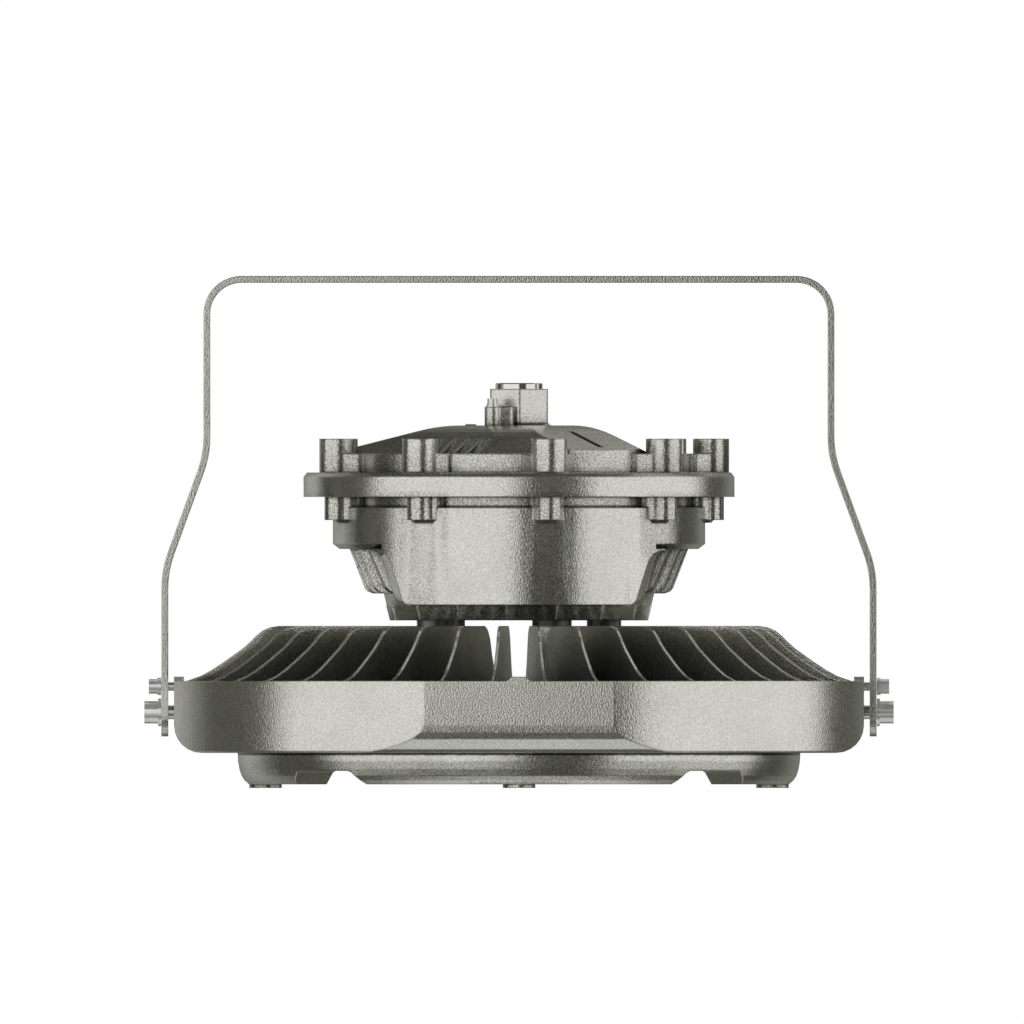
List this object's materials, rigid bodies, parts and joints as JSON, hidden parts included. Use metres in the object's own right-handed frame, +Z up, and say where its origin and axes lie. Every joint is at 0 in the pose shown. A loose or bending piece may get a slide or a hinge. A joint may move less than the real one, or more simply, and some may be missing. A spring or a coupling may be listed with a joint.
{
  "type": "high bay light",
  "caption": "Round finned high bay light with a bolted driver housing above the heat sink and a tilting strip yoke.",
  "frame": {"origin": "on the floor plane under the four feet of the lens ring, on the lamp's centre line", "axes": "+X along the yoke's bar, +Z up, -Y is the front"},
  "size_m": [0.4346, 0.4002, 0.297],
  "materials": {
    "casting": "hammertone grey powder coat on cast aluminium",
    "housing_paint": "hammertone grey powder coat on cast aluminium",
    "cover_paint": "hammertone grey powder coat on cast aluminium",
    "yoke_paint": "hammertone grey powder coat",
    "ring_paint": "hammertone grey powder coat on cast aluminium",
    "stainless": "bright stainless steel",
    "nickel": "bright nickel plate",
    "glass": "clear toughened glass",
    "silicone": "white silicone",
    "black_rubber": "matte black rubber",
    "board_white": "white solder mask",
    "led_yellow": "yellow phosphor",
    "reflector_metal": "bright anodised",
    "zinc": "zinc plated steel",
    "driver_case": "satin",
    "terminal_white": "moulded nylon"
  },
  "bodies": {
    "lamp": {"heat_sink": "casting", "retaining_ring": "ring_paint", "glass_lens": "glass", "lens_gasket": "silicone", "led_board": "board_white", "reflector": "reflector_metal", "leds": "led_yellow", "ring_screws": "stainless", "board_screws": "stainless", "driver_housing": "housing_paint", "cover_gasket": "black_rubber", "driver_cover": "cover_paint", "gland_ring": "nickel", "gland_seal": "black_rubber", "cover_bolts": "stainless", "cover_washers": "stainless", "earth_washer": "stainless", "earth_spring_washer": "stainless", "earth_screw": "stainless", "housing_spacers": "zinc", "housing_screws": "zinc", "cable_nipple": "zinc", "nipple_nut": "zinc", "driver_pillars": "zinc", "driver_screws": "zinc", "driver_plate": "zinc", "driver_unit": "driver_case", "terminal_block": "terminal_white", "pivot_bolts": "stainless", "pivot_washers": "stainless", "lock_bolts": "stainless", "lock_washers": "stainless"},
    "yoke": {"yoke": "yoke_paint"}
  },
  "joints": [
    {"name": "yoke_tilt", "type": "hinge", "parent": "lamp", "child": "yoke", "pos_m": [0, 0, 0.0439], "axis": [1, 0, 0], "range_deg": [-44, 44]}
  ]
}
